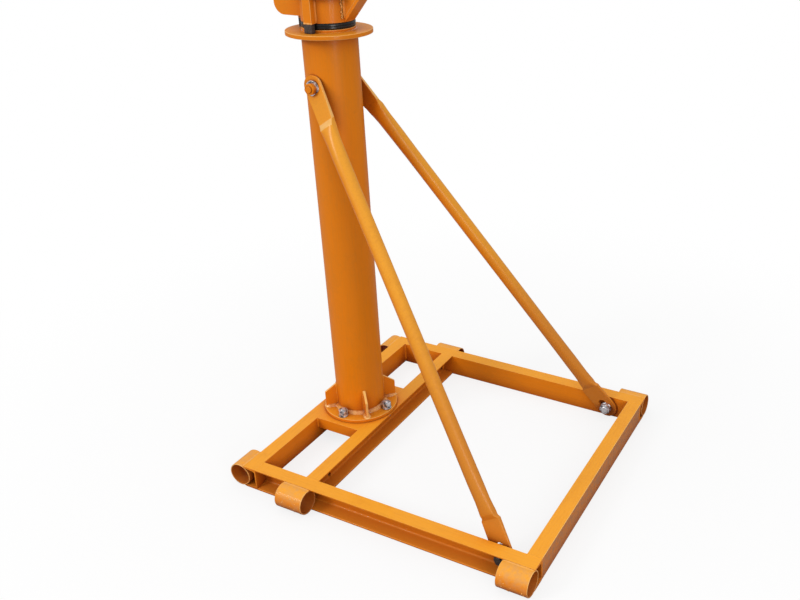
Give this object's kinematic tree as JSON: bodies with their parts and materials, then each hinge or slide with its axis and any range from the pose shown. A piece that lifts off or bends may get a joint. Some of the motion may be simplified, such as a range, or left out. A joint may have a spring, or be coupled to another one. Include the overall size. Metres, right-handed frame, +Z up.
{
  "type": "portable mini crane base with mast and slewing head",
  "caption": "Orange floor frame of steel channel with outrigger sleeves, a braced tubular mast and a slewing head.",
  "frame": {"origin": "centre of the floor frame's box on the ground", "axes": "+X along the base, from the mast towards the front channel and the jib side; +Y to the left; +Z up along the mast"},
  "size_m": [1.108, 1.08, 1.5085],
  "materials": {
    "orange_paint": "glossy orange-yellow paint over rolled and welded steel",
    "black_ring": "satin black coating",
    "dark_steel": "dark bare steel"
  },
  "bodies": {
    "stand": {"side_rail_right": "orange_paint", "side_rail_left": "orange_paint", "rear_channel": "orange_paint", "middle_channel": "orange_paint", "front_channel": "orange_paint", "mast_seat_right": "orange_paint", "mast_seat_left": "orange_paint", "sleeve_rear_right": "orange_paint", "sleeve_rear_left": "orange_paint", "sleeve_middle_right": "orange_paint", "sleeve_middle_left": "orange_paint", "sleeve_front_right": "orange_paint", "sleeve_front_left": "orange_paint", "foot_plate": "orange_paint", "mast_tube": "orange_paint", "gusset_front_right": "orange_paint", "gusset_front_left": "orange_paint", "gusset_rear_right": "orange_paint", "gusset_rear_left": "orange_paint", "mast_top_plate": "orange_paint", "brace_right": "orange_paint", "brace_left": "orange_paint", "ring_collar": "orange_paint", "slewing_ring": "black_ring"},
    "head": {"head_hub": "orange_paint", "head_top_plate": "orange_paint", "jib_cheek_right": "orange_paint", "jib_cheek_left": "orange_paint", "jib_sole": "orange_paint", "wing_cheek_right": "orange_paint", "wing_cheek_left": "orange_paint", "guide_rib_right": "orange_paint", "guide_rib_left": "orange_paint", "guide_rib_rear": "orange_paint", "guide_shoe_right": "dark_steel", "guide_shoe_left": "dark_steel", "guide_shoe_rear": "dark_steel"}
  },
  "joints": [
    {"name": "slew", "type": "hinge", "parent": "stand", "child": "head", "pos_m": [-0.36, 0, 1.4305], "axis": [0, 0, 1], "continuous": true}
  ]
}
